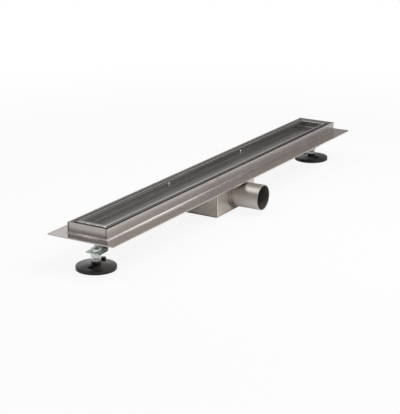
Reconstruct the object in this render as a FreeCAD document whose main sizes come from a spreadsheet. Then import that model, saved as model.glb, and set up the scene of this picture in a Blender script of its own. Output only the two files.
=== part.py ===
"""Channel drain for a tiled floor: a long shallow gutter with a tile tray, a trap box and levelling feet.

Millimetres. The origin is the middle of the tray's floor, where the tile is bedded. X runs along the
channel, the outlet pipe leaves towards -Y, and +Z is up.
"""
import FreeCAD, Part
import os
import re
import Sketcher

doc = FreeCAD.newDocument("ChannelDrain")

# ---------------------------------------------------------------------------------------------- sizes
SIZES = {
    # gutter: one folded sheet closed by two end plates
    "channel_length": 700.0,
    "channel_width": 66.6,
    "gutter_depth": 20.0,
    "gutter_sheet": 1.5,
    "gutter_bend": 1.0,
    # flange: a flat sheet frame welded round the gutter
    "upstand_height": 15.6,
    "flange_sheet": 1.5,
    "flange_side": 21.8,
    "flange_end": 17.7,
    # tray for the tile
    "tray_end_gap": 7.5,
    "recess_width": 40.0,
    "recess_depth": 10.5,
    "tray_sheet": 1.2,
    "tray_bend": 0.8,
    "rim_side": 5.5,
    "rim_end": 7.0,
    "rim_skirt": 3.0,
    # clips that carry the tray, and the rivets that hold them
    "clip_offset": 110.0,
    "clip_width": 20.0,
    "clip_sheet": 1.2,
    "clip_bend": 1.0,
    "clip_clearance": 0.3,
    "rivet_drop": 5.2,
    "rivet_shank": 4.0,
    "rivet_hole_clearance": 0.05,
    "rivet_head": 6.0,
    "rivet_dome": 1.2,
    "rivet_tail": 5.4,
    # trap box under the gutter
    "trap_length": 118.4,
    "trap_depth": 44.6,
    "trap_sheet": 1.2,
    "trap_bend": 0.8,
    # outlet pipe
    "pipe_diameter": 40.0,
    "pipe_wall": 1.2,
    "pipe_drop": 19.1,
    "pipe_reach": 48.2,
    # siphon insert, sized inwards from the gutter's walls
    "siphon_side_gap": 0.8,
    "siphon_lip_overlap": 3.0,
    "siphon_lip_thickness": 1.4,
    "siphon_wall": 1.5,
    "spigot_clearance": 1.2,
    "spigot_depth": 4.0,
    "cup_clearance": 2.5,
    "cup_height": 30.0,
    "water_gap": 7.0,
    "dip_gap": 6.0,
    "seal_thickness": 1.0,
    "seal_overlap": 1.0,
    "seal_inset": 0.5,
    # brackets welded under the gutter
    "foot_from_end": 19.1,
    "bracket_width": 22.6,
    "bracket_sheet": 2.0,
    "bracket_bend": 1.5,
    "bracket_drop": 24.2,
    "bracket_nose": 8.0,
    "bracket_back": 14.0,
    "bracket_hole_clearance": 0.3,
    # stud, nuts and pad of a levelling foot
    "thread_diameter": 8.0,
    "thread_clearance": 0.05,
    "nut_flats": 13.0,
    "nut_height": 6.5,
    "lock_nut_height": 4.5,
    "stud_end": 0.5,
    "adjust_gap": 2.0,
    "collar_flats": 11.0,
    "collar_height": 4.3,
    "neck_diameter": 6.0,
    "button_diameter": 9.0,
    "button_height": 2.5,
    "swivel_clearance": 0.05,
    "pad_diameter": 58.0,
    "pad_edge": 5.0,
    "pad_crown": 7.5,
    "pad_height": 10.2,
    "boss_diameter": 14.0,
    "socket_floor": 2.4,
    "peg_from_axis": 22.5,
    "peg_diameter": 7.0,
    "peg_height": 9.3,
    "screw_from_axis": 16.0,
    "screw_hole": 4.5,
    "screw_seat": 9.0,
}

sheet = doc.addObject("Spreadsheet::Sheet", "Sizes")
for row, (alias, number) in enumerate(SIZES.items(), 1):
    sheet.set(f"A{row}", alias)
    sheet.set(f"B{row}", str(number))
    sheet.setAlias(f"B{row}", alias)
doc.recompute()

# Heights above the tile bed, as formulas of the sizes.
RIM_TOP = "recess_depth"
FLANGE_TOP = "(recess_depth - upstand_height)"
FLANGE_UNDERSIDE = f"({FLANGE_TOP} - flange_sheet)"
GUTTER_UNDERSIDE = "(recess_depth - gutter_depth)"
GUTTER_FLOOR = f"({GUTTER_UNDERSIDE} + gutter_sheet)"
TRAP_UNDERSIDE = f"({GUTTER_UNDERSIDE} - trap_depth)"
TRAP_FLOOR = f"({TRAP_UNDERSIDE} + trap_sheet)"
PIPE_AXIS = f"({GUTTER_UNDERSIDE} - pipe_drop)"
LEG_UNDERSIDE = f"({GUTTER_UNDERSIDE} - bracket_drop)"
LEG_TOP = f"({LEG_UNDERSIDE} + bracket_sheet)"
LOWER_NUT_UNDERSIDE = f"({LEG_UNDERSIDE} - nut_height)"
COLLAR_TOP = f"({LOWER_NUT_UNDERSIDE} - adjust_gap)"
COLLAR_UNDERSIDE = f"({COLLAR_TOP} - collar_height)"
BOSS_TOP = f"({COLLAR_UNDERSIDE} - swivel_clearance)"
GROUND = f"({BOSS_TOP} - pad_height)"

# Half lengths, half widths and radii that several pieces share.
FOOT_X = "(channel_length / 2 - foot_from_end)"
GUTTER_INSIDE = "(channel_width / 2 - gutter_sheet)"
LIP_RADIUS = f"({GUTTER_INSIDE} - gutter_bend - siphon_side_gap)"
HOLE_RADIUS = f"({LIP_RADIUS} - siphon_lip_overlap)"
CUP_RADIUS = f"({HOLE_RADIUS} - cup_clearance)"
TRAP_FACE = "(channel_width / 2 + trap_sheet)"
TRAY_OUTSIDE = "(recess_width / 2 + tray_sheet)"
RIM_EDGE = "(recess_width / 2 + rim_side)"
CLIP_OUTSIDE = f"({TRAY_OUTSIDE} + clip_sheet)"
RIVET_HEIGHT = "(recess_depth - rivet_drop)"


# ---------------------------------------------------------------------------------- drawing functions
def formula(text):
    """Point each size's name in a formula at its cell in the sheet."""
    return re.sub(r"\b([a-z]\w+)\b(?!\()", r"Sizes.\1", text)


def number(text):
    """The value that a formula has now."""
    return float(sheet.evalExpression(formula(text)))


def bind(thing, **formulas):
    """Tie properties of an object to formulas; a double underscore stands for a dot."""
    for name, text in formulas.items():
        thing.setExpression(name.replace("__", "."), formula(text))


def new_body(label, x="", turn=0.0):
    """Start the body of one piece, standing at x and turned about the upright axis."""
    body = doc.addObject("PartDesign::Body", label)
    body.Label = label
    body.Placement = FreeCAD.Placement(FreeCAD.Vector(), FreeCAD.Rotation(FreeCAD.Vector(0, 0, 1), turn))
    if x:
        bind(body, Placement__Base__x=x)
    return body


def new_sketch(body, plane, height="0"):
    """An empty sketch on one of the body's own planes, moved along the plane's normal."""
    sketch = body.newObject("Sketcher::SketchObject", "Sketch")
    origin_plane = next(f for f in body.Origin.OriginFeatures if f.Role == plane)
    sketch.AttachmentSupport = [(origin_plane, "")]
    sketch.MapMode = "FlatFace"
    bind(sketch, AttachmentOffset__Base__z=height)
    return sketch


def outline(sketch, points):
    """Close a chain of straight lines through points given as pairs of formulas."""
    places = [FreeCAD.Vector(number(a), number(b), 0) for a, b in points]
    first = sketch.GeometryCount
    for here, there in zip(places, places[1:] + places[:1]):
        sketch.addGeometry(Part.LineSegment(here, there), False)
    count = len(places)
    for i in range(count):
        sketch.addConstraint(Sketcher.Constraint("Coincident", first + i, 2, first + (i + 1) % count, 1))
    for i, (a, b) in enumerate(points):
        for kind, text, value in (("DistanceX", a, places[i].x), ("DistanceY", b, places[i].y)):
            index = sketch.addConstraint(Sketcher.Constraint(kind, -1, 1, first + i, 1, value))
            sketch.setExpression(f"Constraints[{index}]", formula(text))


def rectangle(sketch, x1, x2, y1, y2):
    """A rectangle between two pairs of formulas."""
    outline(sketch, [(x1, y1), (x2, y1), (x2, y2), (x1, y2)])


def circle(sketch, x, y, radius):
    """A circle whose centre and radius are formulas."""
    centre = FreeCAD.Vector(number(x), number(y), 0)
    item = sketch.addGeometry(Part.Circle(centre, FreeCAD.Vector(0, 0, 1), number(radius)), False)
    for kind, text, value in (("DistanceX", x, centre.x), ("DistanceY", y, centre.y)):
        index = sketch.addConstraint(Sketcher.Constraint(kind, -1, 1, item, 3, value))
        sketch.setExpression(f"Constraints[{index}]", formula(text))
    index = sketch.addConstraint(Sketcher.Constraint("Radius", item, number(radius)))
    sketch.setExpression(f"Constraints[{index}]", formula(radius))


def hexagon(sketch, flats):
    """A hexagon about the axis, with the given distance across its flats and corners on the x axis."""
    half = f"({flats} / 2)"
    corner = f"({flats} / sqrt(3))"
    outline(sketch, [(corner, "0"), (f"{corner} / 2", half), (f"-{corner} / 2", half),
                     (f"-{corner}", "0"), (f"-{corner} / 2", f"-{half}"), (f"{corner} / 2", f"-{half}")])


def pad(body, sketch, length, symmetric=False):
    """Add material from a sketch, along its normal."""
    feature = body.newObject("PartDesign::Pad", "Pad")
    feature.Profile = sketch
    feature.SideType = "Symmetric" if symmetric else "One side"
    bind(feature, Length=length)
    doc.recompute()
    return feature


def pocket(body, sketch, length, symmetric=False, towards_normal=False):
    """Cut a sketch's shape out of the body, and stop if nothing came away."""
    before = body.Shape.Volume
    feature = body.newObject("PartDesign::Pocket", "Pocket")
    feature.Profile = sketch
    feature.SideType = "Symmetric" if symmetric else "One side"
    feature.Reversed = towards_normal
    bind(feature, Length=length)
    doc.recompute()
    if body.Shape.Volume > before - 1e-3:
        raise RuntimeError(f"{body.Label}: a pocket cut nothing")
    return feature


def turned(body, points):
    """Revolve a half profile of (radius, height) points about the upright axis."""
    sketch = new_sketch(body, "XZ_Plane")
    outline(sketch, points)
    feature = body.newObject("PartDesign::Revolution", "Revolution")
    feature.Profile = sketch
    feature.ReferenceAxis = (sketch, ["V_Axis"])
    feature.Angle = 360.0
    doc.recompute()
    return feature


def straight_edges(body, axis, **places):
    """Names of the body's straight edges along an axis, at the given distances from its own origin."""
    directions = {"X": (1, 0, 0), "Y": (0, 1, 0), "Z": (0, 0, 1)}
    wanted = {name: abs(number(text)) for name, text in places.items()}
    names = []
    for i, edge in enumerate(body.Tip.Shape.Edges, 1):
        if edge.Degenerated or not isinstance(edge.Curve, Part.Line):
            continue
        if abs(edge.Curve.Direction.dot(FreeCAD.Vector(*directions[axis]))) < 0.999:
            continue
        middle = edge.CenterOfMass
        if all(abs(abs(getattr(middle, name)) - value) < 0.01 for name, value in wanted.items()):
            names.append(f"Edge{i}")
    return names


def round_edge_names(body, axis, place, radius):
    """Names of the body's circular edges of one radius whose centre lies at a given place along an axis."""
    height, reach = number(place), number(radius)
    return [f"Edge{i}" for i, edge in enumerate(body.Tip.Shape.Edges, 1)
            if not edge.Degenerated and isinstance(edge.Curve, Part.Circle)
            and abs(getattr(edge.Curve.Center, axis) - height) < 0.01
            and abs(edge.Curve.Radius - reach) < 0.01]


def round_edges(body, names, radius):
    """Fillet the named edges of the body's last feature."""
    base = body.Tip
    feature = body.newObject("PartDesign::Fillet", "Fillet")
    feature.Base = (base, names)
    bind(feature, Radius=radius)
    doc.recompute()
    return feature


# --------------------------------------------------------------------------------------------- gutter
def make_gutter():
    """Floor and both long walls, folded from one sheet, with a round hole for the siphon."""
    body = new_body("gutter")
    out, inside = "(channel_width / 2)", GUTTER_INSIDE
    section = new_sketch(body, "YZ_Plane")
    outline(section, [
        (f"-{out}", GUTTER_UNDERSIDE), (out, GUTTER_UNDERSIDE), (out, RIM_TOP), (inside, RIM_TOP),
        (inside, GUTTER_FLOOR), (f"-{inside}", GUTTER_FLOOR), (f"-{inside}", RIM_TOP), (f"-{out}", RIM_TOP),
    ])
    pad(body, section, "channel_length", symmetric=True)
    hole = new_sketch(body, "XY_Plane", GUTTER_FLOOR)
    circle(hole, "0", "0", HOLE_RADIUS)
    pocket(body, hole, "gutter_sheet * 2")
    round_edges(body, straight_edges(body, "X", y=inside, z=GUTTER_FLOOR), "gutter_bend")
    round_edges(body, straight_edges(body, "X", y=out, z=GUTTER_UNDERSIDE), "gutter_bend + gutter_sheet")
    return body


def make_end_plate(label, turn):
    """Plate welded between the long walls at one end, flush with their ends."""
    body = new_body(label, turn=turn)
    inside = GUTTER_INSIDE
    face = new_sketch(body, "YZ_Plane", "channel_length / 2 - gutter_sheet")
    outline(face, [
        (f"gutter_bend - {inside}", GUTTER_FLOOR), (f"{inside} - gutter_bend", GUTTER_FLOOR),
        (inside, f"{GUTTER_FLOOR} + gutter_bend"), (inside, RIM_TOP), (f"-{inside}", RIM_TOP),
        (f"-{inside}", f"{GUTTER_FLOOR} + gutter_bend"),
    ])
    pad(body, face, "gutter_sheet")
    return body


def make_flange():
    """Flat frame round the gutter that the floor's sealing membrane is bonded to."""
    body = new_body("flange")
    frame = new_sketch(body, "XY_Plane", FLANGE_UNDERSIDE)
    long_half, short_half = "(channel_length / 2)", "(channel_width / 2)"
    rectangle(frame, f"-{long_half} - flange_end", f"{long_half} + flange_end",
              f"-{short_half} - flange_side", f"{short_half} + flange_side")
    rectangle(frame, f"-{long_half}", long_half, f"-{short_half}", short_half)
    pad(body, frame, "flange_sheet")
    corners = straight_edges(body, "Z", x=f"{long_half} + flange_end", y=f"{short_half} + flange_side")
    round_edges(body, corners, "flange_sheet")
    return body


# ------------------------------------------------------------------------------------- trap and outlet
def make_trap_box():
    """Folded box under the gutter; its two long walls reach up past the gutter to the flange."""
    body = new_body("trap_box")
    half = "(trap_length / 2)"
    outside = new_sketch(body, "XY_Plane", TRAP_UNDERSIDE)
    rectangle(outside, f"-{half}", half, f"-{TRAP_FACE}", TRAP_FACE)
    pad(body, outside, f"{FLANGE_UNDERSIDE} - {TRAP_UNDERSIDE}")
    round_edges(body, straight_edges(body, "Z", x=half, y=TRAP_FACE), "trap_bend + trap_sheet")
    bottom = (straight_edges(body, "X", y=TRAP_FACE, z=TRAP_UNDERSIDE)
              + straight_edges(body, "Y", x=half, z=TRAP_UNDERSIDE))
    round_edges(body, bottom, "trap_bend + trap_sheet")
    hollow = new_sketch(body, "XY_Plane", TRAP_FLOOR)
    end_inside, wall_inside = f"({half} - trap_sheet)", "(channel_width / 2)"
    rectangle(hollow, f"-{end_inside}", end_inside, f"-{wall_inside}", wall_inside)
    pocket(body, hollow, f"{FLANGE_UNDERSIDE} - {TRAP_FLOOR}", towards_normal=True)
    inner = (straight_edges(body, "Z", x=end_inside, y=wall_inside)
             + straight_edges(body, "X", y=wall_inside, z=TRAP_FLOOR)
             + straight_edges(body, "Y", x=end_inside, z=TRAP_FLOOR))
    round_edges(body, inner, "trap_bend")
    saddle = new_sketch(body, "XY_Plane", GUTTER_UNDERSIDE)
    rectangle(saddle, f"-{half}", half, f"-{wall_inside}", wall_inside)
    pocket(body, saddle, f"{FLANGE_UNDERSIDE} - {GUTTER_UNDERSIDE}", towards_normal=True)
    outlet = new_sketch(body, "XZ_Plane", "channel_width / 2")
    circle(outlet, "0", PIPE_AXIS, "pipe_diameter / 2 - pipe_wall")
    pocket(body, outlet, "trap_sheet", towards_normal=True)
    return body


def make_outlet_pipe():
    """Thin tube butt-welded over the hole in the trap's front wall."""
    body = new_body("outlet_pipe")
    ring = new_sketch(body, "XZ_Plane", TRAP_FACE)
    circle(ring, "0", PIPE_AXIS, "pipe_diameter / 2")
    circle(ring, "0", PIPE_AXIS, "pipe_diameter / 2 - pipe_wall")
    pad(body, ring, "pipe_reach")
    return body


# --------------------------------------------------------------------------------------------- siphon
def make_siphon_tube():
    """Lip that lies on the seal, spigot that centres it in the gutter's hole, and the dip tube."""
    body = new_body("siphon_tube")
    seat = f"({GUTTER_FLOOR} + seal_thickness)"
    spigot = f"({HOLE_RADIUS} - spigot_clearance)"
    dip = f"({CUP_RADIUS} - siphon_wall - water_gap)"
    tip = f"({TRAP_FLOOR} + siphon_wall + dip_gap)"
    turned(body, [
        (f"{dip} - siphon_wall", tip), (dip, tip), (dip, f"{seat} - siphon_wall"),
        (f"{spigot} - siphon_wall", f"{seat} - siphon_wall"),
        (f"{spigot} - siphon_wall", f"{seat} - spigot_depth"), (spigot, f"{seat} - spigot_depth"),
        (spigot, seat), (LIP_RADIUS, seat), (LIP_RADIUS, f"{seat} + siphon_lip_thickness"),
        (f"{dip} - siphon_wall", f"{seat} + siphon_lip_thickness"),
    ])
    return body


def make_siphon_cup():
    """Cup that stands on the trap's floor round the dip tube and keeps the water seal."""
    body = new_body("siphon_cup")
    inside = f"({CUP_RADIUS} - siphon_wall)"
    base, bottom, rim = TRAP_FLOOR, f"({TRAP_FLOOR} + siphon_wall)", f"({TRAP_FLOOR} + cup_height)"
    turned(body, [
        ("0", base), (CUP_RADIUS, base), (CUP_RADIUS, rim), (inside, rim), (inside, bottom), ("0", bottom),
    ])
    return body


def make_siphon_seal():
    """Flat rubber ring between the gutter's floor and the siphon's lip."""
    body = new_body("siphon_seal")
    inner, outer = f"({HOLE_RADIUS} - seal_overlap)", f"({LIP_RADIUS} - seal_inset)"
    top = f"({GUTTER_FLOOR} + seal_thickness)"
    turned(body, [(inner, GUTTER_FLOOR), (outer, GUTTER_FLOOR), (outer, top), (inner, top)])
    return body


# ------------------------------------------------------------------------------ tile tray and its clips
def make_tile_tray():
    """Tray folded from one sheet, with a flat rim turned outwards and down at its edge."""
    body = new_body("tile_tray")
    x_rim, y_rim = "(channel_length / 2 - gutter_sheet - tray_end_gap)", RIM_EDGE
    x_in, y_in = f"({x_rim} - rim_end)", "(recess_width / 2)"
    x_out, y_out = f"({x_in} + tray_sheet)", TRAY_OUTSIDE
    pan = new_sketch(body, "XY_Plane", "-tray_sheet")
    rectangle(pan, f"-{x_out}", x_out, f"-{y_out}", y_out)
    pad(body, pan, "recess_depth + tray_sheet")
    rim = new_sketch(body, "XY_Plane", f"{RIM_TOP} - tray_sheet")
    rectangle(rim, f"-{x_rim}", x_rim, f"-{y_rim}", y_rim)
    pad(body, rim, "tray_sheet")
    skirt = new_sketch(body, "XY_Plane", f"{RIM_TOP} - rim_skirt")
    rectangle(skirt, f"-{x_rim}", x_rim, f"-{y_rim}", y_rim)
    rectangle(skirt, f"tray_sheet - {x_rim}", f"{x_rim} - tray_sheet",
              f"tray_sheet - {y_rim}", f"{y_rim} - tray_sheet")
    pad(body, skirt, "rim_skirt")
    outside = (straight_edges(body, "X", y=y_rim, z=RIM_TOP) + straight_edges(body, "Y", x=x_rim, z=RIM_TOP)
               + straight_edges(body, "X", y=y_out, z="tray_sheet")
               + straight_edges(body, "Y", x=x_out, z="tray_sheet"))
    round_edges(body, outside, "tray_bend + tray_sheet")
    ceiling = f"({RIM_TOP} - tray_sheet)"
    hollow = (straight_edges(body, "X", y=f"{y_rim} - tray_sheet", z=ceiling)
              + straight_edges(body, "Y", x=f"{x_rim} - tray_sheet", z=ceiling)
              + straight_edges(body, "X", y=y_out, z=ceiling) + straight_edges(body, "Y", x=x_out, z=ceiling))
    round_edges(body, hollow, "tray_bend")
    recess = new_sketch(body, "XY_Plane")
    rectangle(recess, f"-{x_in}", x_in, f"-{y_in}", y_in)
    pocket(body, recess, "recess_depth", towards_normal=True)
    bed = straight_edges(body, "X", y=y_in, z="0") + straight_edges(body, "Y", x=x_in, z="0")
    round_edges(body, bed, "tray_bend")
    lip = straight_edges(body, "X", y=y_in, z=RIM_TOP) + straight_edges(body, "Y", x=x_in, z=RIM_TOP)
    round_edges(body, lip, "tray_bend + tray_sheet")
    holes = new_sketch(body, "XZ_Plane")
    for side in ("-", ""):
        circle(holes, f"{side}clip_offset", RIVET_HEIGHT, "rivet_shank / 2 + rivet_hole_clearance")
    pocket(body, holes, f"2 * {y_out} + tray_sheet", symmetric=True)
    return body


def make_clip(label, x, turn):
    """Angle that stands on the gutter's floor and holds the tray's side wall; its toe centres the tray."""
    body = new_body(label, x, turn)
    toe = f"({GUTTER_INSIDE} - gutter_bend - clip_clearance)"
    inner, outer = TRAY_OUTSIDE, CLIP_OUTSIDE
    head = f"({RIM_TOP} - tray_sheet - tray_bend - clip_clearance)"
    toe_top = f"({GUTTER_FLOOR} + clip_sheet)"
    section = new_sketch(body, "YZ_Plane")
    outline(section, [
        (inner, GUTTER_FLOOR), (toe, GUTTER_FLOOR), (toe, toe_top), (outer, toe_top), (outer, head),
        (inner, head),
    ])
    pad(body, section, "clip_width", symmetric=True)
    round_edges(body, straight_edges(body, "X", y=outer, z=toe_top), "clip_bend")
    round_edges(body, straight_edges(body, "X", y=inner, z=GUTTER_FLOOR), "clip_bend + clip_sheet")
    hole = new_sketch(body, "XZ_Plane", f"-{outer}")
    circle(hole, "0", RIVET_HEIGHT, "rivet_shank / 2 + rivet_hole_clearance")
    pocket(body, hole, "2 * clip_sheet", symmetric=True)
    return body


def make_rivet(label, x, turn):
    """Rivet through the tray's wall and a clip: domed head in the recess, flat tail behind the clip."""
    body = new_body(label, x, turn)
    head_face, tail_face = "(recess_width / 2)", CLIP_OUTSIDE
    rise = "(rivet_dome / 2)"
    for plane_at, radius, length in (
        (f"-{tail_face} - {rise}", "rivet_tail / 2", rise),
        (f"-{tail_face}", "rivet_shank / 2", f"{tail_face} - {head_face}"),
        (f"-{head_face}", "rivet_head / 2", "rivet_dome"),
    ):
        disc = new_sketch(body, "XZ_Plane", plane_at)
        circle(disc, "0", RIVET_HEIGHT, radius)
        pad(body, disc, length)
    rim = round_edge_names(body, "y", f"{head_face} - rivet_dome", "rivet_head / 2")
    round_edges(body, rim, "rivet_dome * 0.8")
    return body


# -------------------------------------------------------------------------------------- levelling feet
def make_bracket(label, x, turn):
    """C-shaped strip welded under the gutter; the stud passes through its lower leg."""
    body = new_body(label, x, turn)
    nose, back, web = "-bracket_nose", "bracket_back", "(bracket_back - bracket_sheet)"
    upper_leg = f"({GUTTER_UNDERSIDE} - bracket_sheet)"
    section = new_sketch(body, "XZ_Plane")
    outline(section, [
        (nose, LEG_UNDERSIDE), (back, LEG_UNDERSIDE), (back, GUTTER_UNDERSIDE), (nose, GUTTER_UNDERSIDE),
        (nose, upper_leg), (web, upper_leg), (web, LEG_TOP), (nose, LEG_TOP),
    ])
    pad(body, section, "bracket_width", symmetric=True)
    inner = straight_edges(body, "Y", x=web, z=LEG_TOP) + straight_edges(body, "Y", x=web, z=upper_leg)
    round_edges(body, inner, "bracket_bend")
    outer = (straight_edges(body, "Y", x=back, z=LEG_UNDERSIDE)
             + straight_edges(body, "Y", x=back, z=GUTTER_UNDERSIDE))
    round_edges(body, outer, "bracket_bend + bracket_sheet")
    hole = new_sketch(body, "XY_Plane", LEG_UNDERSIDE)
    circle(hole, "0", "0", "thread_diameter / 2 + bracket_hole_clearance")
    pocket(body, hole, "bracket_sheet", towards_normal=True)
    return body


def make_nut(label, x, turn, underside, height):
    """Hexagon nut, chamfered at both faces, with a plain bore that stands for its thread."""
    body = new_body(label, x, turn)
    blank = new_sketch(body, "XY_Plane", underside)
    hexagon(blank, "nut_flats")
    pad(body, blank, height)
    bore = new_sketch(body, "XY_Plane", underside)
    circle(bore, "0", "0", "thread_diameter / 2 + thread_clearance")
    pocket(body, bore, height, towards_normal=True)
    flat, beyond = "(nut_flats / 2)", "(nut_flats * 0.65)"
    bevel = f"(({beyond} - {flat}) * tan(30))"
    for face, inward in ((underside, "+"), (f"({underside} + {height})", "-")):
        groove = new_sketch(body, "XZ_Plane")
        outline(groove, [(flat, face), (beyond, face), (beyond, f"{face} {inward} {bevel}")])
        cut = body.newObject("PartDesign::Groove", "Groove")
        cut.Profile = groove
        cut.ReferenceAxis = (groove, ["V_Axis"])
        cut.Angle = 360.0
        doc.recompute()
    return body


def make_stud(label, x, turn):
    """Threaded stud with a hexagon collar; its necked button snaps into the pad and lets it swivel."""
    body = new_body(label, x, turn)
    thread, neck, button = "(thread_diameter / 2)", "(neck_diameter / 2)", "(button_diameter / 2)"
    foot = f"({GROUND} + socket_floor + swivel_clearance)"
    end = f"({LEG_TOP} + lock_nut_height + stud_end)"
    turned(body, [
        ("0", foot), (button, foot), (button, f"{foot} + button_height"), (neck, f"{foot} + button_height"),
        (neck, COLLAR_UNDERSIDE), (thread, COLLAR_UNDERSIDE), (thread, f"{end} - stud_end"),
        (f"{thread} - stud_end", end), ("0", end),
    ])
    collar = new_sketch(body, "XY_Plane", COLLAR_UNDERSIDE)
    hexagon(collar, "collar_flats")
    pad(body, collar, "collar_height")
    return body


def make_pad(label, x, turn):
    """Moulded foot: a low cone round the stud's boss, a short peg, and a screw hole in a flat seat."""
    body = new_body(label, x, turn)
    rim, boss = "(pad_diameter / 2)", "(boss_diameter / 2)"
    neck = "(neck_diameter / 2 + swivel_clearance)"
    cavity = "(button_diameter / 2 + swivel_clearance)"
    socket = f"({GROUND} + socket_floor)"
    ceiling = f"({socket} + button_height + 2 * swivel_clearance)"
    turned(body, [
        ("0", GROUND), (rim, GROUND), (rim, f"{GROUND} + pad_edge"), (boss, f"{GROUND} + pad_crown"),
        (boss, BOSS_TOP), (neck, BOSS_TOP), (neck, ceiling), (cavity, ceiling), (cavity, socket),
        ("0", socket),
    ])
    round_edges(body, round_edge_names(body, "z", f"{GROUND} + pad_edge", rim), "pad_edge * 0.25")
    peg = new_sketch(body, "XY_Plane", GROUND)
    circle(peg, "peg_from_axis", "0", "peg_diameter / 2")
    pad(body, peg, "peg_height")
    tip = round_edge_names(body, "z", f"{GROUND} + peg_height", "peg_diameter / 2")
    round_edges(body, tip, "peg_diameter * 0.1")
    seat = new_sketch(body, "XY_Plane", f"{GROUND} + pad_edge")
    circle(seat, "-screw_from_axis", "0", "screw_seat / 2")
    pocket(body, seat, "pad_crown", towards_normal=True)
    hole = new_sketch(body, "XY_Plane", GROUND)
    circle(hole, "-screw_from_axis", "0", "screw_hole / 2")
    pocket(body, hole, "pad_edge", towards_normal=True)
    return body


# ---------------------------------------------------------------------------------------------- build
def make_pieces():
    """Every piece of the drain, in its place."""
    yield make_gutter()
    yield make_end_plate("end_plate_left", 180.0)
    yield make_end_plate("end_plate_right", 0.0)
    yield make_flange()
    yield make_trap_box()
    yield make_outlet_pipe()
    yield make_siphon_tube()
    yield make_siphon_cup()
    yield make_siphon_seal()
    yield make_tile_tray()
    for side, sign in (("left", "-"), ("right", "")):
        for place, turn in (("back", 0.0), ("front", 180.0)):
            yield make_clip(f"tray_clip_{side}_{place}", f"{sign}clip_offset", turn)
            yield make_rivet(f"tray_rivet_{side}_{place}", f"{sign}clip_offset", turn)
    for side, sign, turn, pad_turn in (("left", "-", 0.0, 8.0), ("right", "", 180.0, 60.0)):
        x = f"{sign}{FOOT_X}"
        yield make_bracket(f"bracket_{side}", x, turn)
        yield make_nut(f"height_nut_{side}", x, turn, LOWER_NUT_UNDERSIDE, "nut_height")
        yield make_nut(f"lock_nut_{side}", x, turn, LEG_TOP, "lock_nut_height")
        yield make_stud(f"stud_{side}", x, turn)
        yield make_pad(f"pad_{side}", x, pad_turn)


pieces = list(make_pieces())
doc.recompute()
for thing in doc.Objects:
    if "Invalid" in thing.State or "Error" in thing.State:
        raise RuntimeError(f"{thing.Label} did not build: {thing.State}")
for piece in pieces:
    if piece.Shape.isNull() or not piece.Shape.isValid() or len(piece.Shape.Solids) != 1:
        raise RuntimeError(f"{piece.Label} is not one valid solid")

os.makedirs("parts", exist_ok=True)
for piece in pieces:
    piece.Shape.exportStep(f"parts/{piece.Label}.step")
print(len(pieces), "pieces written")
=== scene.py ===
import math

import bmesh
import bpy
from mathutils import Euler, Matrix, Vector


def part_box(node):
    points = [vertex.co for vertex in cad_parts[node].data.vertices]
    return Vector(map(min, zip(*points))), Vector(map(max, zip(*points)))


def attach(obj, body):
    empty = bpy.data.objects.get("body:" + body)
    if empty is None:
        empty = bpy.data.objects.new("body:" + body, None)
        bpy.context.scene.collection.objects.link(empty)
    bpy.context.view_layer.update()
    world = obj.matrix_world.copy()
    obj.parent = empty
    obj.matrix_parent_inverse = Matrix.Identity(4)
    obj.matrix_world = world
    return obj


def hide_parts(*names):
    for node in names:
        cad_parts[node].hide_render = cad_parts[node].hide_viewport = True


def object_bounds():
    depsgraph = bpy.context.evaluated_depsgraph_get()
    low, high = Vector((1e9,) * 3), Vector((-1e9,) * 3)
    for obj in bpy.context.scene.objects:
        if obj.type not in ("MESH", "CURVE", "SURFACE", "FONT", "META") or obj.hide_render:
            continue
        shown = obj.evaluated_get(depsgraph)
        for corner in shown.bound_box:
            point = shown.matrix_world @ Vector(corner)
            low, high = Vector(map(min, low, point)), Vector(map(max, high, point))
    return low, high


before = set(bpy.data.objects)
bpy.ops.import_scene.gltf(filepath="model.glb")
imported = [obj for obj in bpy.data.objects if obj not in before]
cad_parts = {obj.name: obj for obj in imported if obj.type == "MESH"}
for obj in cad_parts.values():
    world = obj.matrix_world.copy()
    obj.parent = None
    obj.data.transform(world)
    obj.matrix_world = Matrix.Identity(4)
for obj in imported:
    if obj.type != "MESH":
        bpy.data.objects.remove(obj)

cad_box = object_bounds()


# ---------------------------------------------------------------------------------------------------
# Gutter. One sheet of stainless steel, 1.5 mm thick, folded into a floor and two long walls.
# Its brushed grain runs along the channel, and a round hole in the floor takes the siphon.

class Wire:
    """A value travelling through one tree of nodes; arithmetic on it adds Math nodes."""

    def __init__(self, tree, socket=None):
        self.tree = tree
        self.socket = socket

    def node(self, kind, settings=None, inputs=None, output=0):
        """Add a node: first its settings or ramp stops, then the values or wires of its sockets."""
        made = self.tree.nodes.new(kind)
        for name, value in (settings or {}).items():
            if name == "stops":
                for place, tone in value[2:]:
                    made.color_ramp.elements.new(place)
                for element, (place, tone) in zip(made.color_ramp.elements, sorted(value)):
                    element.position = place
                    element.color = (tone, tone, tone, 1.0)
            else:
                setattr(made, name, value)
        for name, value in (inputs or {}).items():
            if isinstance(value, Wire):
                self.tree.links.new(value.socket, made.inputs[name])
            else:
                made.inputs[name].default_value = value
        return Wire(self.tree, made.outputs[output] if made.outputs else None)

    def math(self, operation, first, second):
        return self.node("ShaderNodeMath", {"operation": operation}, {0: first, 1: second})

    def __add__(self, other):
        return self.math("ADD", self, other)

    __radd__ = __add__

    def __sub__(self, other):
        return self.math("SUBTRACT", self, other)

    def __rsub__(self, other):
        return self.math("SUBTRACT", other, self)

    def __mul__(self, other):
        return self.math("MULTIPLY", self, other)

    __rmul__ = __mul__


def start_material(name):
    """An empty material and the wire that its nodes are added with."""
    material = bpy.data.materials.new(name)
    material.use_nodes = True
    material.node_tree.nodes.clear()
    return material, Wire(material.node_tree)


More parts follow.
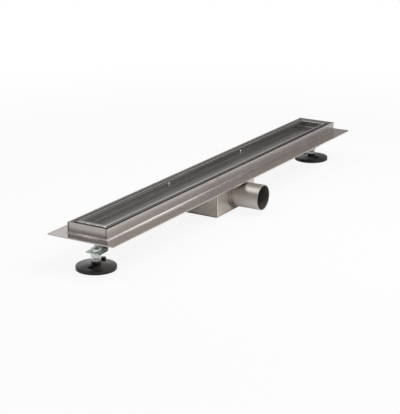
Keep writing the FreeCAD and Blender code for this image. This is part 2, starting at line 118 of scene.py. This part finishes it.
def finish_material(wire, **sockets):
    """Close a material with a Principled shader; underscores in socket names stand for spaces."""
    inputs = {name.replace("_", " "): value for name, value in sockets.items()}
    shader = wire.node("ShaderNodeBsdfPrincipled", None, inputs)
    wire.node("ShaderNodeOutputMaterial", None, {"Surface": shader})


def patches(wire, size, detail=3.0, stretch=(1.0, 1.0, 1.0)):
    """Soft noise, 0 to 1, whose patches are about that many metres across."""
    place = wire.node("ShaderNodeTexCoord", output="Object")
    place = wire.node("ShaderNodeMapping", None, {"Vector": place, "Scale": stretch})
    return wire.node("ShaderNodeTexNoise", None, {"Vector": place, "Scale": 1.0 / size, "Detail": detail})


def mix_colour(wire, amount, low, high):
    """A colour between two, by a wire's value."""
    return wire.node("ShaderNodeMix", {"data_type": "RGBA"}, {0: amount, 6: low, 7: high}, output=2)


def coordinate(wire, axis):
    """The place along one axis, in metres."""
    return wire.node("ShaderNodeSeparateXYZ", None, {0: wire.node("ShaderNodeTexCoord", output="Object")},
                     "XYZ".index(axis))


def step(wire, value, low, high, before=0.0, after=1.0):
    """A soft step from one level to another while a value goes from low to high."""
    return wire.node("ShaderNodeMapRange", {"interpolation_type": "SMOOTHSTEP"},
                     {0: value, 1: low, 2: high, 3: before, 4: after})


def opaque(tone, factor):
    """A tone made lighter or darker, as an opaque colour."""
    return (*(factor * c for c in tone), 1.0)


def distance_from_middle(wire, axis):
    """How far out along one axis, in metres, to either side of the middle."""
    return wire.math("ABSOLUTE", coordinate(wire, axis), 0.0)


brushing_length = 40.0  # how many times longer than wide a brush mark is


def brushed_steel(name, grain, tone, roughness, dull=None, film=0.45, seam_and_shade=None, scratch=0.05, edge=0.0004,
                  streaks=0.0):
    """Stainless sheet: brushing along one axis, faint smudges, edges lightened by wear and painted highlight.

    dull gives a mask from the material's own wire where the sheet keeps its mill finish, with a grey film of
    the given strength; the mask after film gives where the sheet is darker, from a ground weld and from
    painted shade where the caller's mask carries it. scratch says how strongly the brushing shows, edge is
    the radius of the softened edges and of their painted highlight, and streaks is the strength of the
    broad, wavering lines that rolling leaves along the grain.
    """
    material, wire = start_material(name)
    along, across = 1.0 / brushing_length, 1.0
    stretch = tuple(along if axis == grain else across for axis in "XYZ")
    lines = patches(wire, 0.00045, 2.0, stretch)
    coarse = patches(wire, 0.0022, 2.0, stretch)
    smudges = patches(wire, 0.055)
    brushing = 0.4 * lines + 0.6 * coarse
    rounded = wire.node("ShaderNodeBevel", {"samples": 4}, {"Radius": edge})
    plain = wire.node("ShaderNodeNewGeometry", output="Normal")
    edge_wear_and_highlight = 1.0 - wire.node("ShaderNodeVectorMath", {"operation": "DOT_PRODUCT"}, {0: rounded, 1: plain}, 1)
    # Lighter on the edges: partly wear, partly a painted highlight.
    lightness = 0.5 * brushing + 0.3 * smudges + 1.5 * edge_wear_and_highlight
    colour = mix_colour(wire, lightness, opaque(tone, 0.88), opaque(tone, 1.10))
    if streaks:
        bands = step(wire, patches(wire, 0.0045, 2.0, stretch), 0.42, 0.62)
        colour = mix_colour(wire, streaks * bands, colour, opaque(tone, 0.45))
    rough = roughness + 0.10 * (smudges - 0.5) + 0.10 * (brushing - 0.5)
    metal = 1.0
    if dull:
        mill = dull(wire)
        rough = rough + (0.1 + 0.4 * film) * mill
        metal = 1.0 - film * mill
    # Darker by the mask: ground welds, and painted shade from the masks that carry it.
    if seam_and_shade:
        ground = seam_and_shade(wire) * (0.7 + 0.6 * patches(wire, 0.008))
        colour = mix_colour(wire, ground, colour, opaque(tone, 0.25))
        rough = rough + 0.18 * ground
    bump = wire.node("ShaderNodeBump", None, {
        "Strength": scratch, "Distance": 0.00003, "Height": brushing, "Normal": rounded})
    finish_material(wire, Base_Color=colour, Metallic=metal, Roughness=rough, Normal=bump)
    return material


def paint(material, *nodes):
    """Give CAD nodes a finish."""
    for node in nodes:
        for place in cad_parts[node].material_slots:
            place.material = material


steel_tone = (0.61, 0.565, 0.54)
gutter_sheet = 0.0015
gutter_low, gutter_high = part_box("gutter")
plate_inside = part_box("end_plate_right")[0].x


def gutter_inside(wire):
    """1 on the gutter's inner faces."""
    between_walls = step(wire, distance_from_middle(wire, "Y"),
                         gutter_high.y - 0.0010, gutter_high.y - 0.0004, 1.0, 0.0)
    return between_walls * step(wire, coordinate(wire, "Z"), gutter_low.z + 0.0003, gutter_low.z + 0.0010)


def corner_seam(wire):
    """1 along the ground welds where the end plates meet the ends of the long walls."""
    aside = distance_from_middle(wire, "Y")
    wall = gutter_high.y - gutter_sheet
    band = (step(wire, aside, wall - 0.0017, wall - 0.0009)
            * step(wire, aside, wall + 0.0002, wall + 0.0006, 1.0, 0.0))
    at_end = step(wire, distance_from_middle(wire, "X"), plate_inside - 0.0004, plate_inside + 0.0002)
    return 0.9 * band * at_end


paint(brushed_steel("steel_gutter", "X", steel_tone, 0.24, gutter_inside, 0.34, corner_seam), "gutter")


# ---------------------------------------------------------------------------------------------------
# End plates. Stainless sheet set between the long walls and welded at the corners; the weld is
# ground nearly flush and stays visible as a dull upright line.

def plate_inner_face(wire):
    """1 on the faces of the end plates that look into the gutter."""
    return step(wire, distance_from_middle(wire, "X"), plate_inside + 0.0003, plate_inside + 0.0010, 1.0, 0.0)


# A darker copy of the steel's tone, as painted shade on the end plates.
shaded_plate_tone = (0.55, 0.51, 0.487)
paint(brushed_steel("steel_end_plate", "Y", shaded_plate_tone, 0.26, plate_inner_face, seam_and_shade=corner_seam),
      "end_plate_left", "end_plate_right")


# ---------------------------------------------------------------------------------------------------
# Flange. Flat stainless frame round the gutter, on which the sealing membrane is bonded.
# It is welded to the gutter all round, and the weld is dressed to a small hollow fillet.

paint(brushed_steel("steel_flange", "X", steel_tone, 0.26), "flange")

fillet_reach = 0.0018


def make_mesh(name, build):
    """A mesh object at the origin, filled in by a function that works on a bmesh."""
    mesh = bpy.data.meshes.new(name)
    shape = bmesh.new()
    build(shape)
    bmesh.ops.recalc_face_normals(shape, faces=shape.faces)
    shape.to_mesh(mesh)
    shape.free()
    mesh.shade_smooth()
    piece = bpy.data.objects.new(name, mesh)
    bpy.context.scene.collection.objects.link(piece)
    return piece


def build_upstand_weld(shape):
    """Hollow fillet in the corner between the flange's upper face and the upstand, mitred at corners."""
    low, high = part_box("gutter")
    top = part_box("flange")[1].z
    sunk = 0.0003
    facets = 8
    profile = [(-sunk, -sunk), (fillet_reach, -sunk)]
    for i in range(facets + 1):
        turn = math.radians(90.0 * i / facets)
        profile.append((fillet_reach * (1 - math.sin(turn)), fillet_reach * (1 - math.cos(turn))))
    profile.append((-sunk, fillet_reach))
    rings = []
    for out, up in profile:
        rings.append([shape.verts.new((x, y, top + up)) for x, y in (
            (low.x - out, low.y - out), (high.x + out, low.y - out),
            (high.x + out, high.y + out), (low.x - out, high.y + out))])
    for ring, following in zip(rings, rings[1:] + rings[:1]):
        for i in range(4):
            j = (i + 1) % 4
            shape.faces.new((ring[i], ring[j], following[j], following[i]))


upstand_weld = make_mesh("upstand_weld", build_upstand_weld)
upstand_weld.data.materials.append(brushed_steel("steel_dressed_weld", "X", (0.60, 0.565, 0.545), 0.42))
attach(upstand_weld, "channel")


# ---------------------------------------------------------------------------------------------------
# Trap box and outlet. Folded stainless box under the gutter, hung from the flange, and a thin 40 mm
# tube over the hole in its front wall. Both are welded; the rippled beads have a faint straw tint.

trap_low, trap_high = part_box("trap_box")
pipe_low, pipe_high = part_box("outlet_pipe")
pipe_axis = Vector(((pipe_low.x + pipe_high.x) / 2, pipe_high.y, (pipe_low.z + pipe_high.z) / 2))
pipe_radius = (pipe_high.x - pipe_low.x) / 2


def reach_from_pipe(wire):
    """The distance from the pipe's axis."""
    place = wire.node("ShaderNodeTexCoord", output="Object")
    place = wire.node("ShaderNodeVectorMath", {"operation": "SUBTRACT"}, {0: place, 1: tuple(pipe_axis)})
    place = wire.node("ShaderNodeVectorMath", {"operation": "MULTIPLY"}, {0: place, 1: (1.0, 0.0, 1.0)})
    return wire.node("ShaderNodeVectorMath", {"operation": "LENGTH"}, {0: place}, 1)


def outlet_heat_and_shade(wire):
    """1 beside the outlet's weld, fading over a few millimetres: a heat mark and painted shade under the
    pipe.
    """
    beside = wire.math("ABSOLUTE", reach_from_pipe(wire) - pipe_radius, 0.0)
    along = coordinate(wire, "Y")
    near = (step(wire, along, trap_low.y - 0.008, trap_low.y - 0.001)
            * step(wire, along, trap_low.y + 0.001, trap_low.y + 0.004, 1.0, 0.0))
    # Painted shade under the pipe: the mark is stronger below its axis.
    below = step(wire, coordinate(wire, "Z"), pipe_axis.z - 0.016, pipe_axis.z - 0.002, 1.0, 0.3)
    return near * below * step(wire, beside, 0.001, 0.009, 1.0, 0.0)


def pipe_heat_and_shade(wire):
    """The outlet's heat mark and painted shade, and painted shade inside the tube's bore."""
    bore_shade = step(wire, reach_from_pipe(wire), pipe_radius - 0.0008, pipe_radius - 0.0004, 1.0, 0.0)
    return outlet_heat_and_shade(wire) + 0.6 * bore_shade


def trap_marks_and_shade(wire):
    """Painted shade in the bottom folds and on the left wall, blotched there as painted reflected shade,
    a dark weld line at the welded corner, and the outlet's heat mark and painted shade.
    """
    along, up = coordinate(wire, "Y"), coordinate(wire, "Z")
    left = step(wire, coordinate(wire, "X"), trap_low.x + 0.0002, trap_low.x + 0.0008, 1.0, 0.0)
    # Painted shade in the bottom folds.
    fold_shade = (step(wire, up, trap_low.z + 0.0001, trap_low.z + 0.0005)
             * step(wire, up, trap_low.z + 0.0012, trap_low.z + 0.0030, 1.0, 0.0))
    corner = left * step(wire, along, trap_low.y + 0.0010, trap_low.y + 0.0020, 1.0, 0.0)
    # Painted reflection of shade: darker blotches on the left wall, stronger towards the back.
    reflected_shade_blotches = left * patches(wire, 0.022) * step(wire, along, trap_low.y, trap_high.y, 0.15, 1.3)
    # The whole left wall is darkened as painted shade as well; the corner line is a weld.
    return 0.8 * fold_shade + 0.9 * corner + 0.30 * left + reflected_shade_blotches + outlet_heat_and_shade(wire)


# The trap's tone is a lighter copy of the steel's, as painted light on the box.
paint(brushed_steel("steel_trap", "Z", (0.69, 0.635, 0.575), 0.33, seam_and_shade=trap_marks_and_shade, edge=0.0002), "trap_box")
paint(brushed_steel("steel_pipe", "X", (0.57, 0.53, 0.495), 0.42, seam_and_shade=pipe_heat_and_shade, edge=0.0008),
      "outlet_pipe")


def start_tree(name, lengths, result):
    """A geometry tree that takes a mesh, the named lengths and a material, with the wires of those inputs."""
    tree = bpy.data.node_groups.new(name, "GeometryNodeTree")
    inputs = [("Path", "Geometry"), *((length, "Float") for length in lengths), ("Material", "Material")]
    for label, kind in inputs:
        tree.interface.new_socket(label, in_out="INPUT", socket_type="NodeSocket" + kind)
    tree.interface.new_socket(result, in_out="OUTPUT", socket_type="NodeSocketGeometry")
    made = Wire(tree)
    return tree, made, [made.node("NodeGroupInput", output=i) for i in range(len(inputs))]


def finish_tree(made, shape, material):
    """Close a geometry tree with a smooth, plain mesh of one material."""
    shape = made.node("GeometryNodeSetShadeSmooth", None, {0: shape})
    shape = made.node("GeometryNodeRealizeInstances", None, {0: shape})
    shape = made.node("GeometryNodeSetMaterial", None, {"Geometry": shape, "Material": material})
    made.node("NodeGroupOutput", None, {0: shape})


def weld_tree():
    """Geometry nodes that lay a rippled bead of given radius and ripple spacing along a mesh's edges."""
    tree, made, given = start_tree("weld_bead", ("Radius", "Ripple spacing"), "Bead")
    path, radius, ripple, material = given
    path = made.node("GeometryNodeMeshToCurve", None, {0: path})
    path = made.node("GeometryNodeResampleCurve", {"mode": "LENGTH"}, {"Curve": path, "Length": ripple * 0.2})
    run = made.node("GeometryNodeSplineParameter", output=1)
    turn = made.math("DIVIDE", run, ripple) * math.tau
    wander = made.node("ShaderNodeTexNoise", {"noise_dimensions": "1D"},
                       {"W": run, "Scale": 90.0, "Detail": 2.0})
    size = 0.86 + 0.14 * made.math("SINE", turn, 0.0) + 0.3 * (wander - 0.5)
    profile = made.node("GeometryNodeCurvePrimitiveCircle", None, {"Resolution": 10, "Radius": radius})
    bead = made.node("GeometryNodeCurveToMesh", None, {
        "Curve": path, "Profile Curve": profile, "Scale": size, "Fill Caps": True})
    finish_tree(made, bead, material)
    return tree


def grow(name, path, tree, material, body, inputs):
    """Run a node tree on a piece of path mesh and keep its result as a plain mesh on a body."""
    seed = make_mesh(name + "_path", path)
    modifier = seed.modifiers.new("shape", "NODES")
    modifier.node_group = tree
    values = {**inputs, "Material": material}
    for item in tree.interface.items_tree:
        if item.in_out == "INPUT" and item.name in values:
            modifier[item.identifier] = values[item.name]
    depsgraph = bpy.context.evaluated_depsgraph_get()
    mesh = bpy.data.meshes.new_from_object(seed.evaluated_get(depsgraph))
    bpy.data.objects.remove(seed)
    mesh.name = name
    piece = bpy.data.objects.new(name, mesh)
    bpy.context.scene.collection.objects.link(piece)
    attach(piece, body)
    return piece


def path_through(places, closed=False):
    """A builder for a chain of edges through the given places."""
    def build(shape):
        corners = [shape.verts.new(place) for place in places]
        following = corners[1:] + (corners[:1] if closed else [])
        for here, there in zip(corners, following):
            shape.edges.new((here, there))
    return build


weld_metal = brushed_steel("steel_weld", "Y", (0.50, 0.44, 0.38), 0.34, scratch=0.4)
beads = weld_tree()
weld_ripple = 0.0016


def lay_weld(name, places, radius, closed=False):
    """A rippled weld bead through the given places, on the channel."""
    grow(name, path_through(places, closed), beads, weld_metal, "channel",
         {"Radius": radius, "Ripple spacing": weld_ripple})


steps_round = 72
outlet_ring = []
for i in range(steps_round):
    angle = math.radians(360 // steps_round * i)
    outlet_ring.append((pipe_axis.x + pipe_radius * math.cos(angle), trap_low.y - 0.0002,
                        pipe_axis.z + pipe_radius * math.sin(angle)))
lay_weld("weld_outlet", outlet_ring, 0.0009, closed=True)
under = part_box("flange")[0].z
for side, y in (("front", trap_low.y), ("back", trap_high.y)):
    lay_weld(f"weld_trap_{side}", [(trap_low.x + 0.002, y, under), (trap_high.x - 0.002, y, under)], 0.0008)
for side, x in (("left", trap_low.x), ("right", trap_high.x)):
    lay_weld(f"weld_trap_{side}",
             [(x, trap_low.y + 0.003, gutter_low.z), (x, trap_high.y - 0.003, gutter_low.z)], 0.0008)


# ---------------------------------------------------------------------------------------------------
# Siphon. Moulded lip, dip tube and cup of grey plastic on a black rubber ring.

def moulded(name, tone, roughness, grain=0.0006):
    """Injection-moulded plastic or rubber with a fine spark-eroded grain and faint flow marks."""
    material, wire = start_material(name)
    pores = patches(wire, grain)
    flow = patches(wire, 0.02)
    colour = mix_colour(wire, 0.5 * pores + 0.5 * flow, opaque(tone, 0.85), opaque(tone, 1.2))
    bump = wire.node("ShaderNodeBump", None, {"Strength": 0.2, "Distance": 0.00004, "Height": pores})
    finish_material(wire, Base_Color=colour, Roughness=roughness + 0.12 * (flow - 0.5), Normal=bump)
    return material


paint(moulded("grey_plastic", (0.30, 0.31, 0.32), 0.45), "siphon_tube", "siphon_cup")
paint(moulded("seal_rubber", (0.03, 0.03, 0.03), 0.7), "siphon_seal")


# ---------------------------------------------------------------------------------------------------
# Tile tray. Folded from one thinner stainless sheet, with its rim turned outwards and down.
# Four riveted angles hold it above the gutter's floor.

recess_wall = 0.0205  # how far the recess's long walls stand from the middle
skirt_from = 0.0228  # beyond this is the rim's turned-down skirt
skirt_top = 0.0092  # just under the rim's sheet


def tray_pan(wire):
    """1 in the recess, 0 on the rim, which people and packaging have polished."""
    return step(wire, coordinate(wire, "Z"), 0.0070, 0.0100, 1.0, 0.0)


def tray_shade_and_highlight(wire):
    """Painted shade over the tray, more on the back rim and most below the rims; the front rim is left light,
    as a painted highlight.
    """
    along = coordinate(wire, "Y")
    below = step(wire, coordinate(wire, "Z"), skirt_top - 0.0006, skirt_top + 0.0006, 1.0, 0.0)
    # Painted shade under the rims, on their turned-down skirt.
    skirt = below * step(wire, distance_from_middle(wire, "Y"), skirt_from - 0.0006, skirt_from + 0.0006)
    front_rim = step(wire, along, -recess_wall - 0.001, 0.001 - recess_wall, 1.0, 0.0)
    back_rim = step(wire, along, recess_wall - 0.001, recess_wall + 0.001)
    # All but the front rim takes painted shade, so that rim stands out as a painted highlight.
    return 0.42 * (1.0 - front_rim) + 0.16 * back_rim + skirt


paint(brushed_steel("steel_tray", "X", (0.56, 0.535, 0.53), 0.14, tray_pan, 0.04, tray_shade_and_highlight, streaks=0.6),
      "tile_tray")
sides = [f"{side}_{place}" for side in ("left", "right") for place in ("back", "front")]
paint(brushed_steel("steel_clip", "Z", steel_tone, 0.28), *[f"tray_clip_{s}" for s in sides])
paint(brushed_steel("steel_rivet", "Z", (0.68, 0.66, 0.64), 0.25), *[f"tray_rivet_{s}" for s in sides])


# ---------------------------------------------------------------------------------------------------
# Levelling feet. Zinc-plated brackets, nuts and threaded studs. Each stud ends in a button, on which a
# moulded black pad turns, and its bracket is welded under the gutter.

def zinc(name, tone, roughness, sheared=0.0):
    """Zinc plating with a faint cloudy passivation; sheared says how much darker the cut faces are."""
    material, wire = start_material(name)
    clouds = patches(wire, 0.006, 4.0)
    grains = patches(wire, 0.0007, 2.0)
    rounded = wire.node("ShaderNodeBevel", {"samples": 4}, {"Radius": 0.0003})
    colour = mix_colour(wire, clouds, opaque(tone, 0.82), opaque(tone, 1.12))
    facing = wire.node("ShaderNodeNewGeometry", output="True Normal")
    facing = wire.node("ShaderNodeSeparateXYZ", None, {0: facing}, 1)
    cut = sheared * step(wire, wire.math("ABSOLUTE", facing, 0.0), 0.90, 0.97)
    colour = mix_colour(wire, cut, colour, opaque(tone, 0.22))
    bump = wire.node("ShaderNodeBump", None, {
        "Strength": 0.25, "Distance": 0.00004, "Height": grains, "Normal": rounded})
    finish_material(wire, Base_Color=colour, Metallic=1.0, Roughness=roughness + 0.2 * (clouds - 0.5),
                    Normal=bump)
    return material


feet = ("left", "right")
bracket_zinc = zinc("zinc_bracket", (0.50, 0.54, 0.51), 0.28, sheared=1.0)
bolt_zinc = zinc("zinc_fasteners", (0.62, 0.66, 0.63), 0.18)
paint(bracket_zinc, *[f"bracket_{s}" for s in feet])
paint(bolt_zinc, *[f"{piece}_{s}" for s in feet for piece in ("height_nut", "lock_nut")])
paint(moulded("pad_black", (0.0135, 0.0117, 0.0112), 0.2, grain=0.0009), "pad_left", "pad_right")

thread_radius, thread_pitch = 0.004, 0.00125
collar_across = 0.011  # of the hexagon, across its flats
collar_soft = 0.0004
collar_play = 0.00005  # above the pad
collar_gap = 0.002  # below the height nut
neck_radius = 0.003
button_radius, button_height, button_soft = 0.0045, 0.0025, 0.0003


def thread_tree():
    """Geometry nodes for an upright rod with a rolled thread: radius, pitch, lowest and highest point."""
    tree, made, given = start_tree("rolled_thread", ("Radius", "Pitch", "Bottom", "Top"), "Rod")
    radius, pitch, bottom, top, material = given[1:]
    length = top - bottom
    rows = made.node("FunctionNodeFloatToInt", None, {0: made.math("DIVIDE", length, pitch) * 10.0})
    rod = made.node("GeometryNodeMeshCylinder", {"fill_type": "TRIANGLE_FAN"}, {
        "Vertices": 40, "Side Segments": rows, "Fill Segments": 1, "Radius": radius, "Depth": length})
    place = made.node("GeometryNodeInputPosition")
    x, y, z = (made.node("ShaderNodeSeparateXYZ", None, {0: place}, i) for i in range(3))
    turn = made.math("ARCTAN2", y, x) * (0.5 / math.pi)
    wave = made.math("PINGPONG", made.math("DIVIDE", z, pitch) - turn, 0.5) * 2.0
    depth = 0.61 * pitch
    rise = made.math("MINIMUM", made.math("MAXIMUM", 1.4 * wave - 0.2, 0.0), 1.0)
    tip = made.math("MAXIMUM", z - (0.5 * length - 0.7 * depth), 0.0)
    shrink = made.math("DIVIDE", radius - made.math("MAXIMUM", depth * (1.0 - rise), tip), radius)
    threaded = made.node("ShaderNodeCombineXYZ", None,
                         {0: x * shrink, 1: y * shrink, 2: z + 0.5 * (top + bottom)})
    rod = made.node("GeometryNodeSetPosition", None, {"Geometry": rod, "Position": threaded})
    finish_tree(made, rod, material)
    return tree


def no_path(shape):
    """The thread's tree needs no path."""


def add_turning(shape, x, profile, sides):
    """Add a closed solid turned from a half profile of (radius, height) about the upright axis at x."""
    angles = [math.tau * i / sides for i in range(sides)]
    rings = []
    for radius, height in profile:
        rings.append([shape.verts.new((x + radius * math.cos(angle), radius * math.sin(angle), height))
                      for angle in angles])
    for ring, following in zip(rings, rings[1:]):
        for i in range(sides):
            k = (i + 1) % sides
            shape.faces.new((ring[i], ring[k], following[k], following[i]))
    shape.faces.new(rings[0][::-1])
    shape.faces.new(rings[-1])


def softened(radius, bottom, top, soft):
    """The half profile of a disc whose two rims are bevelled."""
    return [(radius - soft, bottom), (radius, bottom + soft), (radius, top - soft), (radius - soft, top)]


threads = thread_tree()
for side in feet:
    stud_low, stud_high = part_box(f"stud_{side}")
    centre = (stud_low.x + stud_high.x) / 2
    collar_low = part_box(f"pad_{side}")[1].z + collar_play
    collar_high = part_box(f"height_nut_{side}")[0].z - collar_gap
    rod = grow(f"stud_{side}_thread", no_path, threads, bolt_zinc, f"stud_{side}", {
        "Radius": thread_radius, "Pitch": thread_pitch, "Bottom": collar_high - 0.001, "Top": stud_high.z})
    rod.data.transform(Matrix.Translation((centre, 0.0, 0.0)))

    def build_stud_foot(shape):
        """Hexagon collar with softened rims, neck and the button that snaps into the pad."""
        corner = collar_across / 2 / math.cos(math.radians(30))
        bottom, top = stud_low.z, stud_low.z + button_height
        add_turning(shape, centre, softened(corner, collar_low, collar_high, collar_soft), 6)
        add_turning(shape, centre, [(neck_radius, top - 0.0005), (neck_radius, collar_low + 0.0005)], 32)
        add_turning(shape, centre, softened(button_radius, bottom, top, button_soft), 32)

    foot = make_mesh(f"stud_{side}_foot", build_stud_foot)
    foot.data.shade_flat()
    foot.data.materials.append(bolt_zinc)
    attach(foot, f"stud_{side}")
    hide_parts(f"stud_{side}")
    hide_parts(f"stud_{side}")
    strip_low, strip_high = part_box(f"bracket_{side}")
    for place, y in (("front", strip_low.y), ("back", strip_high.y)):
        lay_weld(f"weld_bracket_{side}_{place}",
                 [(strip_low.x + 0.003, y, gutter_low.z), (strip_high.x - 0.003, y, gutter_low.z)], 0.0009)


# ---------------------------------------------------------------------------------------------------
# Stage. Pale paper under the pads, white away from the drain, and a white sweep round it that ends
# about 22 degrees up. What metal mirrors is dimmer towards +X and under the drain, and the sweep is
# dimmer towards -X as well. A soft lamp hangs overhead and a weaker one stands at the front.

def lay_floor():
    """A wide pale floor under the pads, with the drain's shadow near it and white further off.

    Metal sees it glow: less towards +X and under the drain, and least beyond the -X end on the +Y side.
    """
    ground = cad_box[0].z - 0.0002
    mesh = bpy.data.meshes.new("floor")
    reach = 14.0
    mesh.from_pydata([(-reach, -reach, ground), (reach, -reach, ground), (reach, reach, ground),
                      (-reach, reach, ground)], [], [(0, 1, 2, 3)])
    floor = bpy.data.objects.new("floor", mesh)
    bpy.context.scene.collection.objects.link(floor)
    material, wire = start_material("floor_paper")
    matt = wire.node("ShaderNodeBsdfDiffuse", None, {"Color": (0.90, 0.90, 0.90, 1.0)})
    white = wire.node("ShaderNodeEmission", None, {"Color": (1.0, 1.0, 1.0, 1.0), "Strength": 1.0})
    eye, gloss, through = (wire.node("ShaderNodeLightPath", output=ray)
                           for ray in ("Is Camera Ray", "Is Glossy Ray", "Is Transmission Ray"))
    along, across = coordinate(wire, "X"), coordinate(wire, "Y")
    open_side = step(wire, along, -0.45, 0.40, 0.85, 0.04)
    sheltered = step(wire, distance_from_middle(wire, "Y"), 0.03, 0.065, 0.42, 1.0)
    far_corner = step(wire, across, 0.02, 0.08) * step(wire, along, -0.44, -0.38, 1.0, 0.0)
    glow = open_side * sheltered * (1.0 - 0.85 * far_corner)
    place = wire.node("ShaderNodeTexCoord", output="Object")
    away = wire.node("ShaderNodeVectorMath", {"operation": "LENGTH"}, {0: place}, 1)
    bright = step(wire, away, 0.45, 1.20, 0.88, 1.0)
    lit = bright * eye + glow * (gloss + through)
    shader = wire.node("ShaderNodeMixShader", None, {0: lit, 1: matt, 2: white})
    wire.node("ShaderNodeOutputMaterial", None, {"Surface": shader})
    mesh.materials.append(material)


lay_floor()

world = bpy.data.worlds.new("room")
bpy.context.scene.world = world
world.use_nodes = True
world.node_tree.nodes.clear()
room = Wire(world.node_tree)
direction = room.node("ShaderNodeTexCoord", output="Generated")
height = room.node("ShaderNodeSeparateXYZ", None, {0: direction}, 2)
level = room.node("ShaderNodeVectorMath", {"operation": "MULTIPLY"}, {0: direction, 1: (1.0, 1.0, 0.0)})
level = room.node("ShaderNodeVectorMath", {"operation": "NORMALIZE"}, {0: level})
ahead = room.node("ShaderNodeSeparateXYZ", None, {0: level}, 0)
beside = room.node("ShaderNodeSeparateXYZ", None, {0: level}, 1)
sweep_tones = [(0.0, 0.92), (0.37, 0.90), (0.46, 0.28), (0.78, 0.28), (1.0, 0.7)]  # height, tone
sweep = room.node("ShaderNodeValToRGB", {"stops": sweep_tones}, {0: height})
# ahead is the cosine of the compass direction from +X; opening is for the +Y side, falling for -Y.
opening = step(room, ahead, 0.893, 0.898, 1.0, 0.48) * step(room, ahead, 0.80, 0.91, 1.05, 0.68)
front = step(room, beside, -0.1, 0.1, 1.0, 0.0)
falling = step(room, ahead, 0.79, 0.89, 1.10, 0.41)
seen = room.node("ShaderNodeLightPath", output="Is Camera Ray")
behind = step(room, ahead, -0.65, -0.20, 0.50, 1.0)
strength = (opening * (1.0 - front) + falling * front) * behind * (1.0 - seen) + seen
paper = mix_colour(room, seen, sweep, (1.0, 1.0, 1.0, 1.0))
room.node("ShaderNodeOutputWorld", None, {
    "Surface": room.node("ShaderNodeBackground", None, {"Color": paper, "Strength": strength})})


def hang_lamp(name, place, size, power):
    """A rectangular soft lamp that looks at the middle of the drain."""
    lamp = bpy.data.lights.new(name, "AREA")
    lamp.shape = "RECTANGLE"
    lamp.size, lamp.size_y = size
    lamp.energy = power
    holder = bpy.data.objects.new(name, lamp)
    bpy.context.scene.collection.objects.link(holder)
    holder.location = place
    holder.rotation_euler = (-Vector(place)).to_track_quat("-Z", "Y").to_euler()


hang_lamp("lamp_overhead", (-0.57, 0.88, 1.52), (1.3, 1.0), 7.0)
hang_lamp("lamp_front", (0.0, -0.5, 0.8), (0.9, 0.7), 5.5)

camera = bpy.data.cameras.new("camera")
camera.lens = 118.0
camera.sensor_width = 36.0
camera.clip_end = 50.0
viewer = bpy.data.objects.new("camera", camera)
bpy.context.scene.collection.objects.link(viewer)
viewer.location = (-1.7711, -1.0378, 0.5922)
looks_down, looks_round = 17.562, 31.127  # degrees below level, and from +X towards +Y
viewer.rotation_euler = Euler((math.radians(90 - looks_down), 0.0, math.radians(looks_round - 90)))
bpy.context.scene.camera = viewer
bpy.context.scene.view_settings.view_transform = "Standard"
